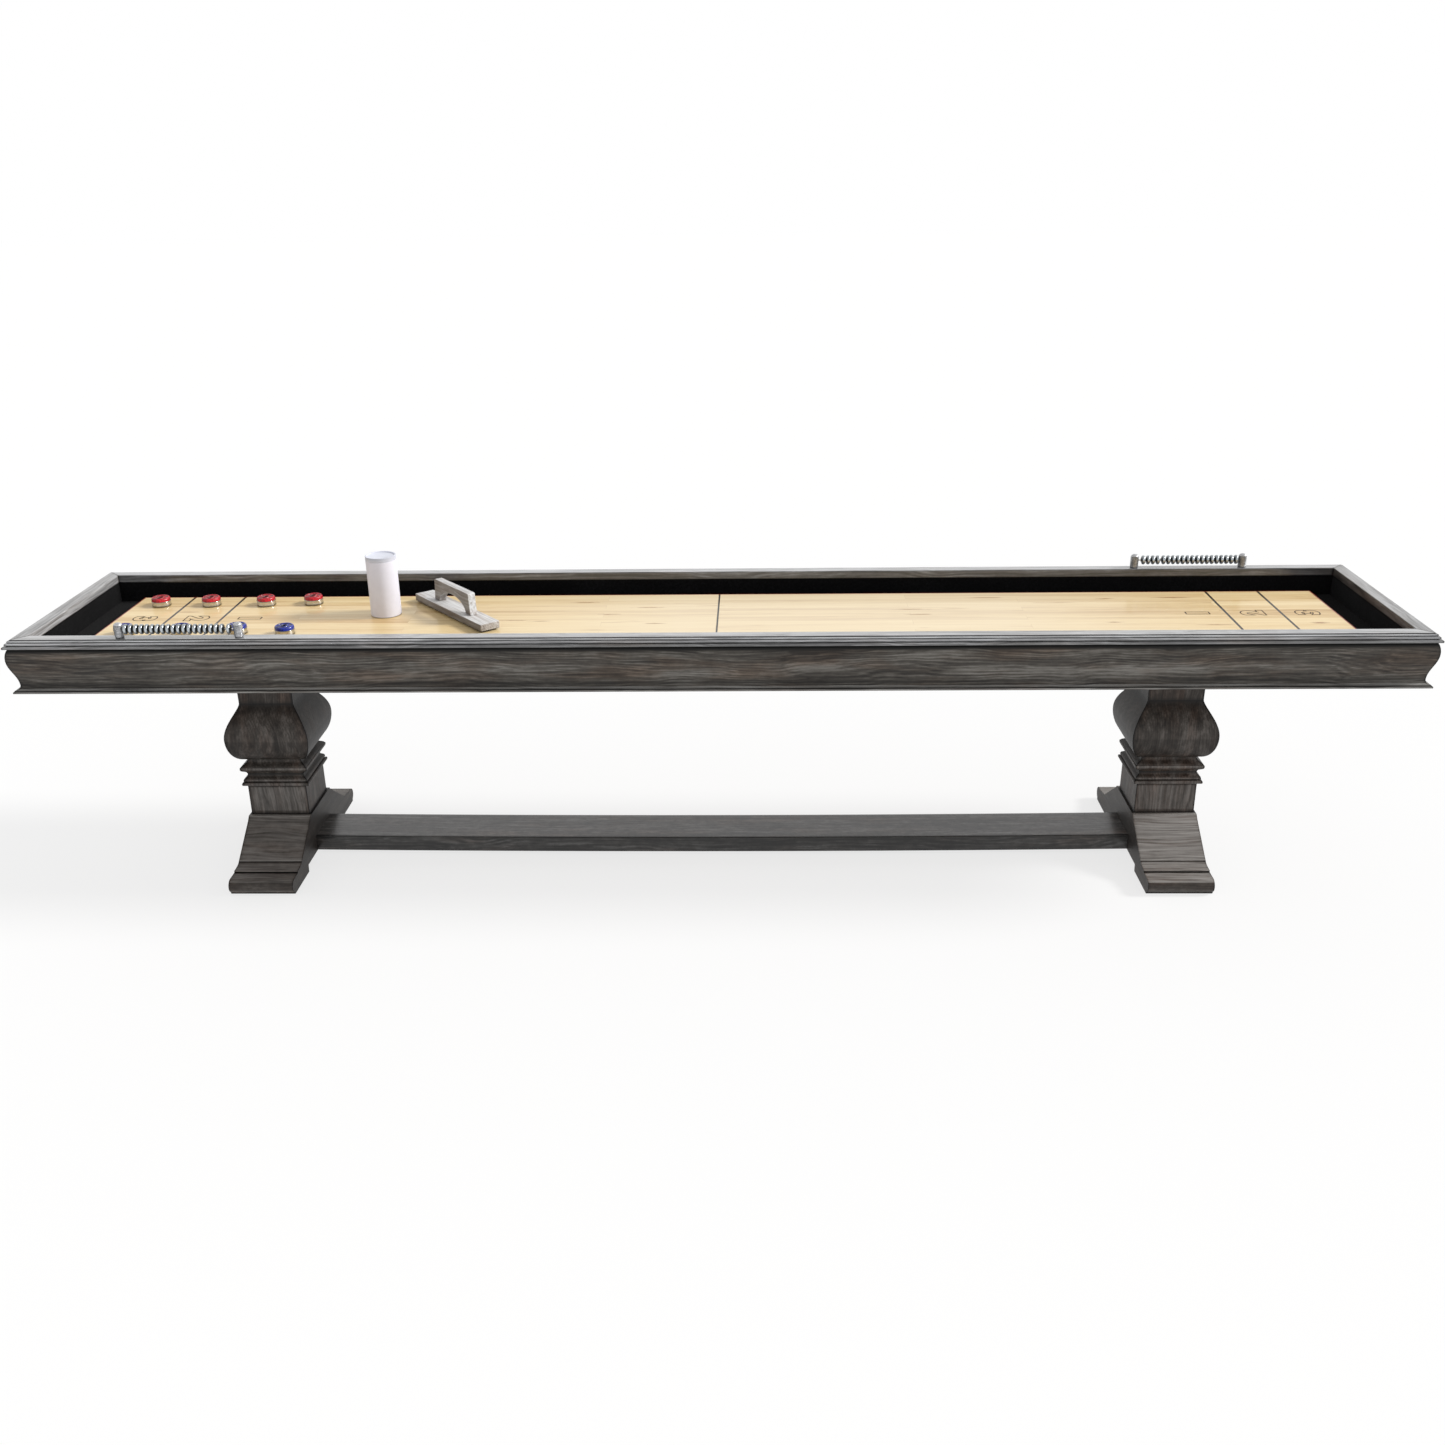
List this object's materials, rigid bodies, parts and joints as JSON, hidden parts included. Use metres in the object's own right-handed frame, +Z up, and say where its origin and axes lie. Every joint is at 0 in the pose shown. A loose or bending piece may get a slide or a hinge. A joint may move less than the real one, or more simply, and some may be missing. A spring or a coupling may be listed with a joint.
{
  "type": "shuffleboard table",
  "caption": "Long table shuffleboard with a sunken maple board, carpeted gutters, moulded wood rails, two pedestals and a stretcher, with pucks, bead scorers, powder can and brush.",
  "frame": {"origin": "on the floor, under the middle of the table", "axes": "+X along the table to the right as seen from its front, +Y across it to the back, +Z up"},
  "size_m": [3.712, 0.664, 0.8835],
  "materials": {
    "cap_wood": "weathered grey stain with open grain, satin",
    "apron_wood": "weathered grey-brown stain, dark glaze in the recesses, satin",
    "leg_wood": "dark weathered grey-brown stain, satin",
    "carpet": "black short-pile carpet",
    "maple": "pale maple strips under a thick glossy coat",
    "steel": "zinc plated",
    "chrome": "polished",
    "scorer_grey": "silver-grey lacquer",
    "puck_red": "moulded, glossy",
    "puck_blue": "moulded, glossy",
    "white_card": "smooth white card and lid",
    "brush_wood": "weathered light grey, satin",
    "bristle": "short dark bristle strip"
  },
  "bodies": {
    "table": {"apron_back": "apron_wood", "apron_front": "apron_wood", "apron_left": "apron_wood", "apron_right": "apron_wood", "cap_rail_back": "cap_wood", "cap_rail_front": "cap_wood", "cap_rail_left": "cap_wood", "cap_rail_right": "cap_wood", "climate_bracket_left": "steel", "climate_bracket_right": "steel", "gutter_floor": "carpet", "gutter_wall_back": "carpet", "gutter_wall_front": "carpet", "gutter_wall_left": "carpet", "gutter_wall_right": "carpet", "pedestal_base_left": "leg_wood", "pedestal_base_right": "leg_wood", "pedestal_foot_left": "leg_wood", "pedestal_foot_right": "leg_wood", "pedestal_plate_left": "leg_wood", "pedestal_plate_right": "leg_wood", "pedestal_post_left": "leg_wood", "pedestal_post_right": "leg_wood", "playfield": "maple", "scorer_post_back_left": "scorer_grey", "scorer_post_back_right": "scorer_grey", "scorer_post_front_left": "scorer_grey", "scorer_post_front_right": "scorer_grey", "scorer_rod_back": "chrome", "scorer_rod_front": "chrome", "stretcher": "leg_wood", "stretcher_bolt_left": "steel", "stretcher_bolt_right": "steel"},
    "climate_rod_left": {"climate_rod_left": "steel"},
    "climate_rod_right": {"climate_rod_right": "steel"},
    "scorer_beads_front_left": {"scorer_beads_front_left": "scorer_grey"},
    "scorer_beads_front_right": {"scorer_beads_front_right": "scorer_grey"},
    "scorer_beads_back_left": {"scorer_beads_back_left": "scorer_grey"},
    "scorer_beads_back_right": {"scorer_beads_back_right": "scorer_grey"},
    "puck_red_1": {"puck_red_1_body": "chrome", "puck_red_1_cap": "puck_red"},
    "puck_red_2": {"puck_red_2_body": "chrome", "puck_red_2_cap": "puck_red"},
    "puck_red_3": {"puck_red_3_body": "chrome", "puck_red_3_cap": "puck_red"},
    "puck_red_4": {"puck_red_4_body": "chrome", "puck_red_4_cap": "puck_red"},
    "puck_blue_1": {"puck_blue_1_body": "chrome", "puck_blue_1_cap": "puck_blue"},
    "puck_blue_2": {"puck_blue_2_body": "chrome", "puck_blue_2_cap": "puck_blue"},
    "puck_blue_3": {"puck_blue_3_body": "chrome", "puck_blue_3_cap": "puck_blue"},
    "puck_blue_4": {"puck_blue_4_body": "chrome", "puck_blue_4_cap": "puck_blue"},
    "powder_can": {"powder_can": "white_card"},
    "powder_can_lid": {"powder_can_lid": "white_card"},
    "brush": {"brush_board": "brush_wood", "brush_bristles": "bristle", "brush_handle": "brush_wood"}
  },
  "joints": [
    {"name": "climate_rod_left_turn", "type": "hinge", "parent": "table", "child": "climate_rod_left", "pos_m": [-0.62, 0, 0.652], "axis": [0, 1, 0], "range_deg": [-180, 180]},
    {"name": "climate_rod_right_turn", "type": "hinge", "parent": "table", "child": "climate_rod_right", "pos_m": [0.62, 0, 0.652], "axis": [0, 1, 0], "range_deg": [-180, 180]},
    {"name": "beads_front_left_slide", "type": "slide", "parent": "table", "child": "scorer_beads_front_left", "axis": [1, 0, 0], "range_m": [0, 0.004]},
    {"name": "beads_front_right_slide", "type": "slide", "parent": "table", "child": "scorer_beads_front_right", "axis": [1, 0, 0], "range_m": [0, 0.0045]},
    {"name": "beads_back_left_slide", "type": "slide", "parent": "table", "child": "scorer_beads_back_left", "axis": [1, 0, 0], "range_m": [-0.006, 0.002]},
    {"name": "beads_back_right_slide", "type": "slide", "parent": "table", "child": "scorer_beads_back_right", "axis": [1, 0, 0], "range_m": [-0.002, 0]},
    {"name": "puck_red_1_slide", "type": "slide", "parent": "table", "child": "puck_red_1", "axis": [1, 0, 0], "range_m": [-0.055, 0.09]},
    {"name": "puck_red_2_slide", "type": "slide", "parent": "table", "child": "puck_red_2", "axis": [1, 0, 0], "range_m": [0, 0.104]},
    {"name": "puck_red_3_slide", "type": "slide", "parent": "table", "child": "puck_red_3", "axis": [1, 0, 0], "range_m": [0, 0.078]},
    {"name": "puck_red_4_slide", "type": "slide", "parent": "table", "child": "puck_red_4", "axis": [1, 0, 0], "range_m": [0, 0.25]},
    {"name": "puck_blue_1_slide", "type": "slide", "parent": "table", "child": "puck_blue_1", "axis": [1, 0, 0], "range_m": [-0.054, 0.1]},
    {"name": "puck_blue_2_slide", "type": "slide", "parent": "table", "child": "puck_blue_2", "axis": [1, 0, 0], "range_m": [0, 0.092]},
    {"name": "puck_blue_3_slide", "type": "slide", "parent": "table", "child": "puck_blue_3", "axis": [1, 0, 0], "range_m": [0, 0.076]},
    {"name": "puck_blue_4_slide", "type": "slide", "parent": "table", "child": "puck_blue_4", "axis": [1, 0, 0], "range_m": [0, 0.45]},
    {"name": "powder_can_lift", "type": "slide", "parent": "table", "child": "powder_can", "axis": [0, 0, 1], "range_m": [0, 0.25]},
    {"name": "powder_can_lid_lift", "type": "slide", "parent": "powder_can", "child": "powder_can_lid", "axis": [0, 0, 1], "range_m": [0, 0.1]},
    {"name": "brush_lift", "type": "slide", "parent": "table", "child": "brush", "axis": [0, 0, 1], "range_m": [0, 0.2]}
  ]
}
